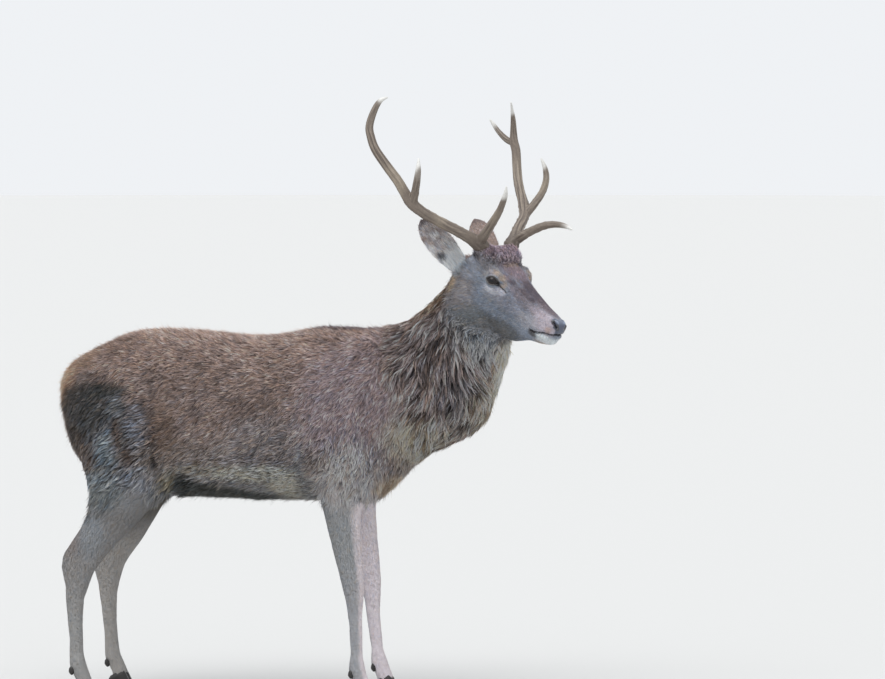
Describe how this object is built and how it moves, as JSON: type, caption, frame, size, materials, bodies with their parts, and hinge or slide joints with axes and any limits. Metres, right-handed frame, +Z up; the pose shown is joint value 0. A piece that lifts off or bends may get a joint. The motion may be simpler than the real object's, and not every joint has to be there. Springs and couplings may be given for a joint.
{
  "type": "red deer stag model",
  "caption": "Life-size still model of an antlered red deer stag, standing with its head turned to its right.",
  "frame": {"origin": "middle of the bounding box, on the floor that the hooves stand on", "axes": "X runs along the body towards the head, Y to the animal's left, Z up"},
  "size_m": [1.5724, 0.6402, 1.8143],
  "materials": {
    "antler": "satin",
    "coat": "matte",
    "eye": "glossy",
    "face": "matte",
    "hoof": "satin",
    "leg": "matte",
    "mane": "matte",
    "rump": "matte"
  },
  "bodies": {
    "root": {"antler_left_beam_high": "antler", "antler_left_beam_low": "antler", "antler_left_brow_tine": "antler", "antler_left_front_tine": "antler", "antler_left_rear_tine": "antler", "antler_left_trez_tine": "antler", "antler_right_beam_high": "antler", "antler_right_beam_low": "antler", "antler_right_brow_tine": "antler", "antler_right_trez_tine": "antler", "belly": "coat", "chest": "coat", "dewclaw_fore_left_inner": "hoof", "dewclaw_fore_left_outer": "hoof", "dewclaw_fore_right_inner": "hoof", "dewclaw_fore_right_outer": "hoof", "dewclaw_hind_left_inner": "hoof", "dewclaw_hind_left_outer": "hoof", "dewclaw_hind_right_inner": "hoof", "dewclaw_hind_right_outer": "hoof", "ear_left": "face", "ear_right": "face", "eye_left": "eye", "eye_right": "eye", "fore_cannon_left": "leg", "fore_cannon_right": "leg", "fore_pastern_left": "leg", "fore_pastern_right": "leg", "forearm_left": "leg", "forearm_right": "leg", "head": "face", "hind_cannon_left": "leg", "hind_cannon_right": "leg", "hind_pastern_left": "leg", "hind_pastern_right": "leg", "hoof_fore_left_inner": "hoof", "hoof_fore_left_outer": "hoof", "hoof_fore_right_inner": "hoof", "hoof_fore_right_outer": "hoof", "hoof_hind_left_inner": "hoof", "hoof_hind_left_outer": "hoof", "hoof_hind_right_inner": "hoof", "hoof_hind_right_outer": "hoof", "neck": "mane", "rump": "coat", "tail": "rump", "thigh_left": "leg", "thigh_right": "leg"}
  },
  "joints": []
}
